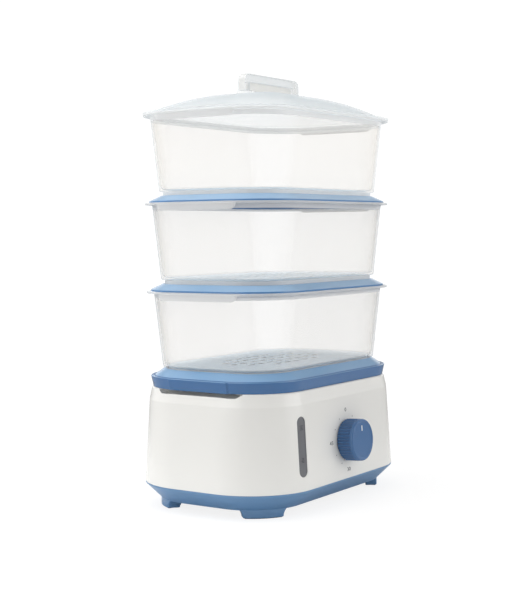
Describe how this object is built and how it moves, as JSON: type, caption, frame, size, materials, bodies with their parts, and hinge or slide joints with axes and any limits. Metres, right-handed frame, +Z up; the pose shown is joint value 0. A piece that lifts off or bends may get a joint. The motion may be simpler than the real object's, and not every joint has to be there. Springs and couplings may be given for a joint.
{
  "type": "electric food steamer",
  "caption": "Electric food steamer: a white base with a water window and timer knob, a drip tray, stacked translucent bowls with rings between them, and a domed lid with an upright grip.",
  "frame": {"origin": "on the floor, under the middle of the base's housing", "axes": "+X along the long side, to the right seen from the front; -Y towards the front with the knob and the level window; +Z up"},
  "size_m": [0.31, 0.2416, 0.4815],
  "materials": {
    "housing_white": "gloss",
    "pan_blue": "satin",
    "tray_blue": "satin",
    "ring_blue": "satin",
    "bowl_clear": "translucent",
    "handle_clear": "clear",
    "tank_white": "satin",
    "turbo_white": "satin",
    "window_smoke": "clear",
    "knob_blue": "gloss",
    "marker_white": "satin",
    "rubber_black": "matte",
    "seal_silicone": "matte",
    "heater_aluminium": "satin",
    "steel": "brushed",
    "timer_nylon": "matte",
    "gland_nylon": "matte",
    "block_nylon": "matte",
    "wire_insulation": "satin",
    "cutoff_phenolic": "matte"
  },
  "bodies": {
    "base": {"base_housing": "housing_white", "bottom_pan": "pan_blue", "foot_pads": "rubber_black", "case_screws": "steel", "water_tank": "tank_white", "heater_plate": "heater_aluminium", "heater_seal": "seal_silicone", "heater_clamp": "steel", "heater_screws": "steel", "thermal_cutoff": "cutoff_phenolic", "level_window": "window_smoke", "timer_case": "timer_nylon", "timer_bell": "steel", "cord_gland": "gland_nylon", "terminal_block": "block_nylon", "lead_wires": "wire_insulation"},
    "timer_knob": {"knob": "knob_blue", "knob_marker": "marker_white", "timer_shaft": "steel"},
    "turbo": {"turbo_ring": "turbo_white"},
    "tray": {"drip_tray": "tray_blue"},
    "tier_1": {"bowl_1": "bowl_clear"},
    "lower_ring": {"ring_2": "ring_blue"},
    "tier_2": {"bowl_2": "bowl_clear"},
    "upper_ring": {"ring_3": "ring_blue"},
    "tier_3": {"bowl_3": "bowl_clear"},
    "cover": {"lid": "bowl_clear", "lid_handle": "handle_clear"}
  },
  "joints": [
    {"name": "knob_turn", "type": "hinge", "parent": "base", "child": "timer_knob", "pos_m": [0, -0.10079, 0.071], "axis": [0, 0.998, -0.0629], "range_deg": [0, 340]},
    {"name": "turbo_lift", "type": "slide", "parent": "base", "child": "turbo", "axis": [0, 0, 1], "range_m": [0, 0.03]},
    {"name": "tray_lift", "type": "slide", "parent": "base", "child": "tray", "axis": [0, 0, 1], "range_m": [0, 0.04]},
    {"name": "bowl_1_lift", "type": "slide", "parent": "tray", "child": "tier_1", "axis": [0, 0, 1], "range_m": [0, 0.04]},
    {"name": "ring_2_lift", "type": "slide", "parent": "tier_1", "child": "lower_ring", "axis": [0, 0, 1], "range_m": [0, 0.03]},
    {"name": "bowl_2_lift", "type": "slide", "parent": "lower_ring", "child": "tier_2", "axis": [0, 0, 1], "range_m": [0, 0.04]},
    {"name": "ring_3_lift", "type": "slide", "parent": "tier_2", "child": "upper_ring", "axis": [0, 0, 1], "range_m": [0, 0.03]},
    {"name": "bowl_3_lift", "type": "slide", "parent": "upper_ring", "child": "tier_3", "axis": [0, 0, 1], "range_m": [0, 0.04]},
    {"name": "lid_lift", "type": "slide", "parent": "tier_3", "child": "cover", "axis": [0, 0, 1], "range_m": [0, 0.06]}
  ]
}
